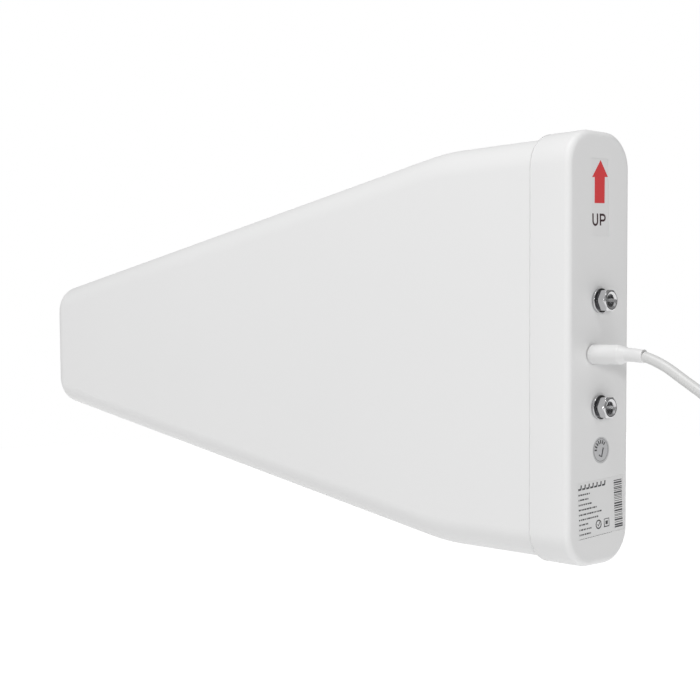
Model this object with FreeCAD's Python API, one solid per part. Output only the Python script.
import FreeCAD, Part
import math
import os
from FreeCAD import Vector

# Directional log-periodic antenna for 700 to 2700 MHz in a tapered plastic radome.
# Millimetres. Origin: centre of the rear mounting face. +X points out of that face,
# +Z is the antenna's up direction, and the tip of the radome lies at X = -LENGTH.

# ---- driving dimensions -------------------------------------------------------------

LENGTH = 480.0            # rear face to tip
HEIGHT = 210.0            # rear cap, along Z
THICKNESS = 48.0          # rear cap, along Y
REAR_CORNER = 17.3        # corner radius of the rear cap seen from behind
TIP_HEIGHT = 80.0
TIP_THICKNESS = 40.0
TIP_CORNER = 14.0
WALL = 3.0                # radome wall

CAP_DEPTH = 24.0          # visible depth of the rear cap
CAP_PROUD_Z = 2.3         # how far the cap stands out of the radome at the top and bottom
CAP_PROUD_Y = 0.5         # and on the broad sides
CAP_MOUTH_EDGE = 0.4      # rounding of the cap's front edge
SPIGOT = 1.6              # how far the radome's rear end steps in to enter the cap
CAP_BACK = 3.5            # thickness of the cap's rear wall
CAP_EDGE = 3.2            # rounding round the rear face
FIT_GAP = 0.15            # glue gap between cap and radome
SEAL = 1.4                # thickness of the sealing ring
SLIP = 0.05               # clearance all round where one part slides into another

BEND_X = 90.0             # where the parallel rear section turns into the taper
BEND_HALF = 11.0          # half length of the rounded bend
BEND_STEPS = 4
NOSE_LENGTH = 12.0        # rounding of the tip, along X and Z
NOSE_SIDE = 8.0           # rounding of the tip, along Y
NOSE_STEPS = 6

SCREW_SPACING = 51.5      # the two M6 mounting screws
SCREW_MID_Z = -2.0        # middle of the screw pair
THREAD_R = 2.97
THREAD_CLEARANCE = 0.06
WALL_HOLE_R = 3.3
SPOT_DEPTH = 0.3          # moulded seats for washers, boot and labels
SPOT_R = 6.8
BOOT_SEAT_MARGIN = 0.4
FLAT_WASHER_R = 6.0
FLAT_WASHER_HOLE_R = 3.2
FLAT_WASHER_T = 1.6
SPRING_WASHER_R = 5.0
SPRING_WASHER_HOLE_R = 3.1
SPRING_WASHER_T = 1.6
SPRING_GAP = 1.3          # cut in the spring washer
HEAD_ACROSS = 10.0
HEAD_T = 4.2
HEAD_CHAMFER = 0.5
RECESS_ARM = 5.2          # cross recess in the screw head
RECESS_W = 1.1
RECESS_DEPTH = 2.2
SHANK = 16.0
SCREW_POINT = 0.8         # how much narrower the end of the shank is
SCREW_POINT_LENGTH = 1.0

PLATE_T = 4.0             # aluminium mounting plate inside the cap
PLATE_HEIGHT = 92.0
PLATE_WIDTH = 32.0
PLATE_CORNER = 6.0
FLANGE_MARGIN = 0.3       # room round the boot's flange in the plate
NUT_T = 6.0
NUT_ACROSS = 10.0

CABLE_R = 2.5             # white 50 ohm coax
CABLE_Y = -5.5            # the cable leaves beside the centre line
CABLE_Z = -2.0
BOOT_R = 4.7
BOOT_LENGTH = 19.3
BOOT_TIP_R = 3.3
BOOT_END = 30.0
BOOT_SHOULDER = 1.6       # length of the step between the two diameters
BOOT_TAPER = 0.2          # how much the thin part narrows towards its end
BOOT_NECK_R = 3.6
BOOT_FLANGE_R = 4.6
BOOT_FLANGE_T = 2.2

BOOM_SIDE = 9.0           # square aluminium tube
BOOM_WALL = 1.75
BOOM_Y = 5.5              # each boom's centre line, either side of the middle
BOOM_REAR = 16.0
BOOM_FRONT = 452.0
BLOCK_FRONT = 27.0        # block that joins the booms at the rear
BLOCK_HALF_Y = 13.0
BLOCK_HALF_Z = 13.0
BLOCK_SCREW_Z = 8.8
BLOCK_SCREW_R = 2.0
BLOCK_SCREW_HEAD = 2.0    # countersunk head
BLOCK_SCREW_LENGTH = 14.0
BLOCK_HOLE_DEPTH = 12.0
PASSAGE_R = 4.3           # the cable steps over to the boom's axis inside this hole

DIPOLES = 10
TAU = 0.88                # length ratio of neighbouring dipoles
LONGEST = 190.0           # tip to tip of the rear dipole
LONGEST_X = 52.0
APEX_DISTANCE = 560.0     # from the rear dipole to the point where the lengths vanish
ROD_R = 2.0
ROD_COLLAR_R = 3.2
ROD_COLLAR_T = 1.5
ROD_PLAY = 0.03           # clearance of a rod in its hole

CLIP_X = (86.0, 204.0, 296.0)    # clips that hold the booms apart
CLIP_WIDTH = 10.0
CLIP_WALL = 2.0
FOAM_X = (150.0, 422.7)
FOAM_WIDTH = 16.0
FOAM_HALF_Z = 14.0
FOAM_GAP = 0.1            # between foam and radome
FOAM_PLAY = 0.2           # between foam and booms

PLUG_LENGTH = 10.0        # plug in the front end of the right boom
PLUG_GAP = 0.02
PLUG_HOLE_R = 1.3
PLUG_HOLE_DEPTH = 9.0
STRIP_T = 0.8             # copper strip that joins the cable's core to the right boom
STRIP_WIDTH = 5.0
STRIP_WAIST = 2.4
STRIP_OVERLAP = 3.0       # how far the strip reaches past the feed screw
STRIP_PAD = 2.0           # half length of its pad at the screw, short of the waist
CORE_R = 0.5
CORE_JUT = 1.0            # how far the core stands out of the strip
INSULATION_R = 1.5
JACKET_SHORT = 1.5        # the cable's jacket ends this far inside the boom
FEED_SCREW_R = 1.28
FEED_SCREW_LENGTH = 8.0
FEED_HEAD_R = 2.4
FEED_HEAD_T = 2.0
FEED_SLOT_WIDTH = 0.6
FEED_SLOT_DEPTH = 0.8

# Free cable, from the boot to the connector, hanging from the fixed antenna.
CABLE_ROUTE = (
    (30.0, -5.5, -2.0),
    (38.8, -5.5, -4.5),
    (52.5, -5.5, -13.3),
    (66.8, -5.6, -22.2),
    (80.5, -5.9, -38.5),
    (90.0, -6.3, -63.0),
    (94.8, -6.8, -96.0),
    (96.2, -7.2, -136.0),
    (95.6, -7.0, -181.0),
    (96.0, -6.8, -222.0),
)
RUN_SHARE = 0.45          # share of the shorter run that an arc takes up
FEED_BEND_BACK = 2.5      # where the feed cable reaches the boom's axis, behind the boom's end
SLEEVE_LENGTH = 22.0      # shrink sleeve over the crimp
SLEEVE_R = 4.1
FERRULE_R = 3.4
FERRULE_LENGTH = 16.0
HEX_ACROSS = 17.0
HEX_LENGTH = 5.0
SHOULDER_R = 7.6
SHOULDER_LENGTH = 5.5
N_THREAD_R = 7.94         # 5/8-24 UNEF outside thread of an N socket
N_THREAD_LENGTH = 10.5
N_BORE_R = 4.2
N_BORE_DEPTH = 9.0
CONTACT_R = 1.55
CONTACT_LENGTH = 7.2
CONTACT_HOLE_R = 0.85
CONTACT_HOLE_DEPTH = 6.0
INSULATOR_R = 3.78
INSULATOR_BORE_R = 3.8
INSULATOR_START = 2.0     # where the insulator begins inside the connector

LABEL_T = 0.15
LABEL_SEAT = 0.25
LABEL_MARGIN = 0.12
UP_LABEL = (0.1, 73.2, 12.8, 36.8, 2.0)          # centre Y, centre Z, width, height, tilt
RATING_LABEL = (2.0, -76.6, 36.0, 27.2, 3.0)
INSPECTION_LABEL = (1.6, -48.7, 6.4)              # centre Y, centre Z, radius


# ---- small helpers ------------------------------------------------------------------

def save(shape, node):
    os.makedirs("parts", exist_ok=True)
    shape.exportStep("parts/%s.step" % node)
    print("%-22s %10.1f mm3 valid %s" % (node, shape.Volume, shape.isValid()))


def box(x_low, x_high, y_low, y_high, z_low, z_high):
    corner = Vector(x_low, y_low, z_low)
    return Part.makeBox(x_high - x_low, y_high - y_low, z_high - z_low, corner)


def round_x(x_low, x_high, y, z, radius):
    return Part.makeCylinder(radius, x_high - x_low, Vector(x_low, y, z), Vector(1, 0, 0))


def cone_x(x_low, x_high, y, z, radius_low, radius_high):
    place = Vector(x_low, y, z)
    return Part.makeCone(radius_low, radius_high, x_high - x_low, place, Vector(1, 0, 0))


def round_z(y, x, z_low, z_high, radius):
    return Part.makeCylinder(radius, z_high - z_low, Vector(x, y, z_low), Vector(0, 0, 1))


def hexagon_x(x_low, x_high, y, z, across):
    radius = across / math.sqrt(3.0)
    corners = []
    for step in range(7):
        angle = math.radians(60 * step)
        corners.append(Vector(x_low, y + radius * math.cos(angle), z + radius * math.sin(angle)))
    face = Part.Face(Part.makePolygon(corners))
    return face.extrude(Vector(x_high - x_low, 0, 0))


def rounded_wire(x, thickness, height, radius):
    """Rounded rectangle across the antenna at station x."""
    half_y = thickness / 2.0
    half_z = height / 2.0
    flat_y = half_y - radius
    flat_z = half_z - radius
    edges = []
    for quarter in range(4):
        sign_y = (1, -1, -1, 1)[quarter]
        sign_z = (1, 1, -1, -1)[quarter]
        centre = Vector(x, sign_y * flat_y, sign_z * flat_z)
        points = []
        for angle in (90 * quarter, 90 * quarter + 45, 90 * quarter + 90):
            turn = math.radians(angle)
            points.append(centre + Vector(0, radius * math.cos(turn), radius * math.sin(turn)))
        edges.append(Part.Arc(*points).toShape())
        if quarter % 2 == 0:
            step = Vector(0, -2 * flat_y * sign_y, 0)
        else:
            step = Vector(0, 0, -2 * flat_z * sign_z)
        edges.append(Part.LineSegment(points[2], points[2] + step).toShape())
    return Part.Wire(edges)


def rounded_block(x_low, x_high, thickness, height, radius):
    face = Part.Face(rounded_wire(x_low, thickness, height, radius))
    return face.extrude(Vector(x_high - x_low, 0, 0))


# ---- radome -------------------------------------------------------------------------

BODY_THICKNESS = THICKNESS - 2 * CAP_PROUD_Y
BODY_HEIGHT = HEIGHT - 2 * CAP_PROUD_Z
BODY_CORNER = REAR_CORNER - CAP_PROUD_Z
BODY_REAR = CAP_BACK + SEAL
TAPER = (BODY_HEIGHT - TIP_HEIGHT) / (LENGTH - BEND_X)


def radome_section(depth):
    """Thickness, height and corner radius of the radome at a depth in front of the rear face."""
    share = (depth - CAP_DEPTH) / (LENGTH - CAP_DEPTH)
    thickness = BODY_THICKNESS + share * (TIP_THICKNESS - BODY_THICKNESS)
    corner = BODY_CORNER + share * (TIP_CORNER - BODY_CORNER)
    past = depth - (BEND_X - BEND_HALF)
    if past <= 0:
        drop = 0.0
    elif past < 2 * BEND_HALF:
        drop = TAPER * past * past / (4 * BEND_HALF)
    else:
        drop = TAPER * (depth - BEND_X)
    return thickness, BODY_HEIGHT - drop, corner


def radome_solid(rear, inset):
    """The radome's outer form, or its hollow when inset is the wall."""
    depths = [rear]
    for step in range(BEND_STEPS + 1):
        depths.append(BEND_X - BEND_HALF + 2 * BEND_HALF * step / BEND_STEPS)
    wires = []
    for depth in depths:
        thickness, height, corner = radome_section(depth)
        wires.append(rounded_wire(-depth, thickness - 2 * inset, height - 2 * inset, corner - inset))
    for step in range(NOSE_STEPS + 1):
        turn = math.radians(90.0 * step / NOSE_STEPS)
        depth = LENGTH - inset - NOSE_LENGTH * (1 - math.sin(turn))
        thickness, height, corner = radome_section(depth)
        pulled_in = 1 - math.cos(turn)
        thickness -= 2 * inset + 2 * NOSE_SIDE * pulled_in
        height -= 2 * inset + 2 * NOSE_LENGTH * pulled_in
        corner = min(corner - inset, thickness / 2 - 1.0)
        wires.append(rounded_wire(-depth, thickness, height, corner))
    return Part.makeLoft(wires, True, True)


def rear_block_inset(x_low, x_high, inset):
    """Straight block with the radome's rear section, moved in by inset all round."""
    return rounded_block(x_low, x_high, BODY_THICKNESS - 2 * inset, BODY_HEIGHT - 2 * inset,
                         BODY_CORNER - inset)


def radome_body():
    shoulder = -CAP_DEPTH - FIT_GAP
    outer = radome_solid(-shoulder, 0.0)
    spigot = rear_block_inset(shoulder - 1, -BODY_REAR, SPIGOT)
    hollow = radome_solid(BODY_REAR - 1.0, WALL)
    return outer.fuse(spigot).cut(hollow)


def cap_seal():
    outer = rear_block_inset(-BODY_REAR, -CAP_BACK, SPIGOT)
    return outer.cut(rear_block_inset(-BODY_REAR - 1, -CAP_BACK + 1, WALL))


def screw_places():
    for half in (0.5, -0.5):
        yield SCREW_MID_Z + half * SCREW_SPACING


def label_block(label, x_low, x_high, grow):
    y, z, width, height, tilt = label
    half_y = width / 2 + grow
    half_z = height / 2 + grow
    block = box(x_low, x_high, y - half_y, y + half_y, z - half_z, z + half_z)
    block.rotate(Vector(0, y, z), Vector(1, 0, 0), tilt)
    return block


def rear_cap():
    cap = rounded_block(-CAP_DEPTH, 0, THICKNESS, HEIGHT, REAR_CORNER)
    rim = [edge for edge in cap.Edges if edge.BoundBox.XMin > -0.001]
    cap = cap.makeFillet(CAP_EDGE, rim)
    mouth = [edge for edge in cap.Edges if edge.BoundBox.XMax < -CAP_DEPTH + 0.001]
    cap = cap.makeFillet(CAP_MOUTH_EDGE, mouth)
    cap = cap.cut(rear_block_inset(-CAP_DEPTH - 1, -CAP_BACK, SPIGOT - FIT_GAP))
    for z in screw_places():
        cap = cap.cut(round_x(-CAP_BACK - 1, 1, 0, z, WALL_HOLE_R))
        cap = cap.cut(round_x(-SPOT_DEPTH, 1, 0, z, SPOT_R))
    cap = cap.cut(round_x(-CAP_BACK - 1, 1, CABLE_Y, CABLE_Z, BOOT_NECK_R + SLIP))
    cap = cap.cut(round_x(-SPOT_DEPTH, 1, CABLE_Y, CABLE_Z, BOOT_R + BOOT_SEAT_MARGIN))
    for label in (UP_LABEL, RATING_LABEL):
        cap = cap.cut(label_block(label, -LABEL_SEAT, 1, LABEL_MARGIN))
    y, z, radius = INSPECTION_LABEL
    return cap.cut(round_x(-LABEL_SEAT, 1, y, z, radius + LABEL_MARGIN))


# ---- labels -------------------------------------------------------------------------

def flat_label(label):
    return label_block(label, -LABEL_SEAT, -LABEL_SEAT + LABEL_T, 0)


def inspection_sticker():
    y, z, radius = INSPECTION_LABEL
    return round_x(-LABEL_SEAT, -LABEL_SEAT + LABEL_T, y, z, radius)


# ---- mounting hardware --------------------------------------------------------------

WASHER_BASE = -SPOT_DEPTH
SPRING_BASE = WASHER_BASE + FLAT_WASHER_T
HEAD_BASE = SPRING_BASE + SPRING_WASHER_T


def flat_washer(z):
    top = WASHER_BASE + FLAT_WASHER_T
    disc = round_x(WASHER_BASE, top, 0, z, FLAT_WASHER_R)
    return disc.cut(round_x(WASHER_BASE - 1, top + 1, 0, z, FLAT_WASHER_HOLE_R))


def spring_washer(z):
    ring = round_x(SPRING_BASE, HEAD_BASE, 0, z, SPRING_WASHER_R)
    ring = ring.cut(round_x(SPRING_BASE - 1, HEAD_BASE + 1, 0, z, SPRING_WASHER_HOLE_R))
    slot = box(SPRING_BASE - 1, HEAD_BASE + 1, -SPRING_WASHER_R - 1, 0,
               z - SPRING_GAP / 2, z + SPRING_GAP / 2)
    slot.rotate(Vector(HEAD_BASE, -SPRING_WASHER_R, z), Vector(0, 1, 0), 25)
    return ring.cut(slot)


def mount_screw(z):
    top = HEAD_BASE + HEAD_T
    head = hexagon_x(HEAD_BASE, top, 0, z, HEAD_ACROSS)
    corner_r = HEAD_ACROSS / math.sqrt(3.0)
    bevel = cone_x(top - 2 * HEAD_CHAMFER, top, 0, z, corner_r + HEAD_CHAMFER, corner_r - HEAD_CHAMFER)
    rim = round_x(HEAD_BASE, top - 2 * HEAD_CHAMFER, 0, z, corner_r + HEAD_CHAMFER)
    head = head.common(rim.fuse(bevel))
    for width, height in ((RECESS_ARM, RECESS_W), (RECESS_W, RECESS_ARM)):
        head = head.cut(box(top - RECESS_DEPTH, top + 1, -width / 2, width / 2,
                            z - height / 2, z + height / 2))
    end = HEAD_BASE - SHANK
    point_top = end + SCREW_POINT_LENGTH
    shank = round_x(point_top, HEAD_BASE, 0, z, THREAD_R)
    point = cone_x(end, point_top, 0, z, THREAD_R - SCREW_POINT, THREAD_R)
    return head.fuse(shank).fuse(point).removeSplitter()


def mounting_plate():
    rear = -CAP_BACK
    front = rear - PLATE_T
    plate = rounded_block(front, rear, PLATE_WIDTH, PLATE_HEIGHT, PLATE_CORNER)
    for z in screw_places():
        plate = plate.cut(round_x(front - 1, rear + 1, 0, z, THREAD_R + THREAD_CLEARANCE))
    plate = plate.cut(round_x(front - 1, rear + 1, CABLE_Y, CABLE_Z, BOOT_FLANGE_R + FLANGE_MARGIN))
    for z in (BLOCK_SCREW_Z, -BLOCK_SCREW_Z):
        plate = plate.cut(round_x(front - 1, rear + 1, 0, z, BLOCK_SCREW_R + SLIP))
        plate = plate.cut(cone_x(rear - BLOCK_SCREW_HEAD, rear, 0, z,
                                 BLOCK_SCREW_R + SLIP, 2 * BLOCK_SCREW_R + SLIP))
    return plate


def clinch_nut(z):
    rear = -CAP_BACK - PLATE_T
    nut = hexagon_x(rear - NUT_T, rear, 0, z, NUT_ACROSS)
    return nut.cut(round_x(rear - NUT_T - 1, rear + 1, 0, z, THREAD_R + THREAD_CLEARANCE))


def block_screws():
    rear = -CAP_BACK
    screws = []
    for z in (BLOCK_SCREW_Z, -BLOCK_SCREW_Z):
        neck = rear - BLOCK_SCREW_HEAD
        head = cone_x(neck, rear, 0, z, BLOCK_SCREW_R, 2 * BLOCK_SCREW_R)
        shank = round_x(rear - BLOCK_SCREW_LENGTH, neck, 0, z, BLOCK_SCREW_R)
        screws.append(head.fuse(shank).removeSplitter())
    return Part.makeCompound(screws)


def rear_block():
    rear = -CAP_BACK - PLATE_T
    block = box(-BLOCK_FRONT, rear, -BLOCK_HALF_Y, BLOCK_HALF_Y, -BLOCK_HALF_Z, BLOCK_HALF_Z)
    half = BOOM_SIDE / 2 + SLIP
    for y in (BOOM_Y, -BOOM_Y):
        block = block.cut(box(-BLOCK_FRONT - 1, -BOOM_REAR, y - half, y + half, -half, half))
    block = block.cut(round_x(-BOOM_REAR - 1, rear + 1, CABLE_Y, CABLE_Z / 2, PASSAGE_R))
    for z in (BLOCK_SCREW_Z, -BLOCK_SCREW_Z):
        block = block.cut(round_x(rear - BLOCK_HOLE_DEPTH, rear + 1, 0, z, BLOCK_SCREW_R + SLIP))
    return block


# ---- antenna ------------------------------------------------------------------------

def dipole_places():
    """Depth and tip-to-tip length of each dipole, longest first."""
    for index in range(DIPOLES):
        scale = TAU ** index
        yield LONGEST_X + APEX_DISTANCE * (1 - scale), LONGEST * scale


def boom(side):
    """Square tube on side +1 or -1, drilled for the rods that it carries."""
    outer = BOOM_SIDE / 2
    inner = outer - BOOM_WALL
    y = side * BOOM_Y
    tube = box(-BOOM_FRONT, -BOOM_REAR, y - outer, y + outer, -outer, outer)
    tube = tube.cut(box(-BOOM_FRONT - 1, -BOOM_REAR + 1, y - inner, y + inner, -inner, inner))
    for index, (depth, length) in enumerate(dipole_places()):
        up = side if index % 2 == 0 else -side
        low, high = sorted((up * inner, up * (outer + 1)))
        tube = tube.cut(round_z(y, -depth, low, high, ROD_R + ROD_PLAY))
    return tube


def dipole(index, depth, length):
    """One dipole: a rod upward from one boom and a rod downward from the other."""
    rods = []
    root = BOOM_SIDE / 2 - BOOM_WALL
    face = BOOM_SIDE / 2
    for side in (1, -1):
        up = side if index % 2 == 0 else -side
        low, high = sorted((up * root, up * length / 2))
        collar_low, collar_high = sorted((up * face, up * (face + ROD_COLLAR_T)))
        rod = round_z(side * BOOM_Y, -depth, low, high, ROD_R)
        collar = round_z(side * BOOM_Y, -depth, collar_low, collar_high, ROD_COLLAR_R)
        rods.append(rod.fuse(collar).removeSplitter())
    return Part.makeCompound(rods)


def boom_clip(depth):
    half_x = CLIP_WIDTH / 2
    half_y = BOOM_Y + BOOM_SIDE / 2 + CLIP_WALL
    half_z = BOOM_SIDE / 2 + CLIP_WALL
    clip = box(-depth - half_x, -depth + half_x, -half_y, half_y, -half_z, half_z)
    half = BOOM_SIDE / 2 + SLIP
    for y in (BOOM_Y, -BOOM_Y):
        clip = clip.cut(box(-depth - half_x - 1, -depth + half_x + 1, y - half, y + half, -half, half))
    return clip


def foam_block(depth):
    """Foam that fills the radome from wall to wall and cradles the booms."""
    thickness = radome_section(depth + FOAM_WIDTH / 2)[0]
    half_x = FOAM_WIDTH / 2
    half_y = thickness / 2 - WALL - FOAM_GAP
    foam = box(-depth - half_x, -depth + half_x, -half_y, half_y, -FOAM_HALF_Z, FOAM_HALF_Z)
    cut_y = BOOM_Y + BOOM_SIDE / 2 + FOAM_PLAY
    cut_z = BOOM_SIDE / 2 + FOAM_PLAY
    return foam.cut(box(-depth - half_x - 1, -depth + half_x + 1, -cut_y, cut_y, -cut_z, cut_z))


def front_plug():
    """Plug in the front end of the right boom that takes the feed screw."""
    half = BOOM_SIDE / 2 - BOOM_WALL - PLUG_GAP
    front = -BOOM_FRONT
    plug = box(front, front + PLUG_LENGTH, BOOM_Y - half, BOOM_Y + half, -half, half)
    return plug.cut(round_x(front - 1, front + PLUG_HOLE_DEPTH, BOOM_Y, 0, PLUG_HOLE_R))


def feed_strip():
    """Strip across the front ends of the booms, with a waist between the core and the screw."""
    rear = -BOOM_FRONT
    front = rear - STRIP_T
    half = STRIP_WIDTH / 2
    core_end = -BOOM_Y - CORE_R
    strip = box(front, rear, core_end, BOOM_Y + STRIP_OVERLAP, -half, half)
    for side in (1, -1):
        low, high = sorted((side * STRIP_WAIST / 2, side * (half + 1)))
        strip = strip.cut(box(front - 1, rear + 1, core_end - 1, BOOM_Y - STRIP_PAD, low, high))
    strip = strip.cut(round_x(front - 1, rear + 1, -BOOM_Y, 0, CORE_R + SLIP))
    return strip.cut(round_x(front - 1, rear + 1, BOOM_Y, 0, PLUG_HOLE_R + SLIP))


def feed_screw():
    front = -BOOM_FRONT - STRIP_T
    top = front - FEED_HEAD_T
    half = FEED_SLOT_WIDTH / 2
    head = round_x(top, front, BOOM_Y, 0, FEED_HEAD_R)
    head = head.cut(box(top - 1, top + FEED_SLOT_DEPTH, BOOM_Y - FEED_HEAD_R - 1,
                        BOOM_Y + FEED_HEAD_R + 1, -half, half))
    shank = round_x(front, front + FEED_SCREW_LENGTH, BOOM_Y, 0, FEED_SCREW_R)
    return head.fuse(shank).removeSplitter()


# ---- cable --------------------------------------------------------------------------

def cable_boot():
    wide_end = BOOT_LENGTH - BOOT_SHOULDER
    boot = round_x(WASHER_BASE, wide_end, CABLE_Y, CABLE_Z, BOOT_R)
    boot = boot.fuse(cone_x(wide_end, BOOT_LENGTH, CABLE_Y, CABLE_Z, BOOT_R, BOOT_TIP_R))
    boot = boot.fuse(cone_x(BOOT_LENGTH, BOOT_END, CABLE_Y, CABLE_Z, BOOT_TIP_R, BOOT_TIP_R - BOOT_TAPER))
    boot = boot.fuse(round_x(-CAP_BACK, WASHER_BASE, CABLE_Y, CABLE_Z, BOOT_NECK_R))
    flange_front = -CAP_BACK - BOOT_FLANGE_T
    boot = boot.fuse(round_x(flange_front, -CAP_BACK, CABLE_Y, CABLE_Z, BOOT_FLANGE_R))
    boot = boot.cut(round_x(flange_front - 1, BOOT_END + 1, CABLE_Y, CABLE_Z, CABLE_R))
    return boot.removeSplitter()


def arc_points(before, corner, after, radius):
    """Start, middle and end of the arc of this radius that rounds a corner."""
    into = (corner - before).normalize()
    out = (after - corner).normalize()
    turn = into.getAngle(out)
    reach = radius * math.tan(turn / 2)
    start = corner - into * reach
    end = corner + out * reach
    inward = (out - into).normalize()
    middle = corner + inward * (radius / math.cos(turn / 2) - radius)
    return start, middle, end


def tube_along(route, radius, name):
    """Round tube of straight runs joined by tangent arcs."""
    points = [Vector(*point) for point in route]
    edges = []
    last = points[0]
    radii = []
    for before, corner, after in zip(points, points[1:], points[2:]):
        turn = (corner - before).getAngle(after - corner)
        shorter = min((corner - before).Length, (after - corner).Length)
        bend = RUN_SHARE * shorter / math.tan(turn / 2)
        radii.append(round(bend, 1))
        start, middle, end = arc_points(before, corner, after, bend)
        edges.append(Part.LineSegment(last, start).toShape())
        edges.append(Part.Arc(start, middle, end).toShape())
        last = end
    edges.append(Part.LineSegment(last, points[-1]).toShape())
    path = Part.Wire(edges)
    section = Part.Wire([Part.makeCircle(radius, points[0], points[1] - points[0])])
    tube = path.makePipeShell([section], True, False)
    expected = math.pi * radius * radius * path.Length
    print("%s radii %s length %.1f volume %.1f expected %.1f"
          % (name, radii, path.Length, tube.Volume, expected))
    return tube


def pigtail_cable():
    return tube_along(CABLE_ROUTE, CABLE_R, "pigtail_cable")


def feed_coax():
    """Cable inside the antenna: through the boot, then along the inside of the left boom."""
    route = (
        (BOOT_END, CABLE_Y, CABLE_Z),
        (-CAP_BACK - BOOT_FLANGE_T, CABLE_Y, CABLE_Z),
        (-BOOM_REAR + FEED_BEND_BACK, CABLE_Y, 0.0),
        (-BOOM_FRONT + JACKET_SHORT, CABLE_Y, 0.0),
    )
    return tube_along(route, CABLE_R, "feed_coax")


def feed_core():
    """Inner conductor of the coax with its insulation, bared at the front end."""
    jacket_end = -BOOM_FRONT + JACKET_SHORT
    insulation = round_x(-BOOM_FRONT, jacket_end, -BOOM_Y, 0, INSULATION_R)
    wire = round_x(-BOOM_FRONT - STRIP_T - CORE_JUT, -BOOM_FRONT, -BOOM_Y, 0, CORE_R)
    return insulation.fuse(wire).removeSplitter()


def along_connector():
    """Direction in which the last run of the cable points."""
    end = Vector(*CABLE_ROUTE[-1])
    before = Vector(*CABLE_ROUTE[-2])
    return end, (end - before).normalize()


def turned(radius, start, length, hole=0.0):
    """Round piece on the connector's axis, start millimetres past the cable's end."""
    end, direction = along_connector()
    base = end + direction * start
    piece = Part.makeCylinder(radius, length, base, direction)
    if hole:
        piece = piece.cut(Part.makeCylinder(hole, length + 2, base - direction, direction))
    return piece


def connector_hexagon(start, length):
    end, direction = along_connector()
    radius = HEX_ACROSS / math.sqrt(3.0)
    corners = []
    for step in range(7):
        angle = math.radians(60 * step)
        corners.append(Vector(radius * math.cos(angle), radius * math.sin(angle), 0))
    prism = Part.Face(Part.makePolygon(corners)).extrude(Vector(0, 0, length))
    prism.Placement = FreeCAD.Placement(end + direction * start,
                                        FreeCAD.Rotation(Vector(0, 0, 1), direction))
    return prism


def shrink_sleeve():
    return turned(SLEEVE_R, -SLEEVE_LENGTH, SLEEVE_LENGTH, FERRULE_R)


def crimp_ferrule():
    return turned(FERRULE_R, -FERRULE_LENGTH, FERRULE_LENGTH, CABLE_R)


def connector_body():
    body = connector_hexagon(0, HEX_LENGTH)
    body = body.fuse(turned(SHOULDER_R, HEX_LENGTH, SHOULDER_LENGTH))
    barrel_start = HEX_LENGTH + SHOULDER_LENGTH
    body = body.fuse(turned(N_THREAD_R, barrel_start, N_THREAD_LENGTH))
    barrel_end = barrel_start + N_THREAD_LENGTH
    body = body.cut(turned(N_BORE_R, barrel_end - N_BORE_DEPTH, N_BORE_DEPTH + 1))
    body = body.cut(turned(INSULATOR_BORE_R, INSULATOR_START, barrel_end))
    return body.removeSplitter()


BORE_FLOOR = HEX_LENGTH + SHOULDER_LENGTH + N_THREAD_LENGTH - N_BORE_DEPTH


def connector_insulator():
    return turned(INSULATOR_R, INSULATOR_START, BORE_FLOOR - INSULATOR_START, CONTACT_R)


def connector_contact():
    start = INSULATOR_START
    tip = BORE_FLOOR + CONTACT_LENGTH
    contact = turned(CONTACT_R, start, tip - start)
    return contact.cut(turned(CONTACT_HOLE_R, tip - CONTACT_HOLE_DEPTH, CONTACT_HOLE_DEPTH + 1))


# ---- write every node ---------------------------------------------------------------

def main():
    save(radome_body(), "radome_body")
    save(rear_cap(), "rear_cap")
    save(cap_seal(), "cap_seal")
    save(flat_label(UP_LABEL), "up_label")
    save(flat_label(RATING_LABEL), "rating_label")
    save(inspection_sticker(), "inspection_sticker")
    for name, z in zip(("upper", "lower"), screw_places()):
        save(flat_washer(z), name + "_flat_washer")
        save(spring_washer(z), name + "_spring_washer")
        save(mount_screw(z), name + "_mount_screw")
        save(clinch_nut(z), name + "_clinch_nut")
    save(mounting_plate(), "mounting_plate")
    save(block_screws(), "block_screws")
    save(rear_block(), "rear_block")
    save(boom(-1), "left_boom")
    save(boom(1), "right_boom")
    for index, (depth, length) in enumerate(dipole_places()):
        save(dipole(index, depth, length), "dipole_%02d" % (index + 1))
    for number, depth in enumerate(CLIP_X):
        save(boom_clip(depth), "boom_clip_%d" % (number + 1))
    for name, depth in zip(("middle", "front"), FOAM_X):
        save(foam_block(depth), name + "_foam_block")
    save(front_plug(), "front_plug")
    save(feed_strip(), "feed_strip")
    save(feed_screw(), "feed_screw")
    save(feed_coax(), "feed_coax")
    save(feed_core(), "feed_core")
    save(cable_boot(), "cable_boot")
    save(pigtail_cable(), "pigtail_cable")
    save(shrink_sleeve(), "shrink_sleeve")
    save(crimp_ferrule(), "crimp_ferrule")
    save(connector_body(), "connector_body")
    save(connector_insulator(), "connector_insulator")
    save(connector_contact(), "connector_contact")


main()
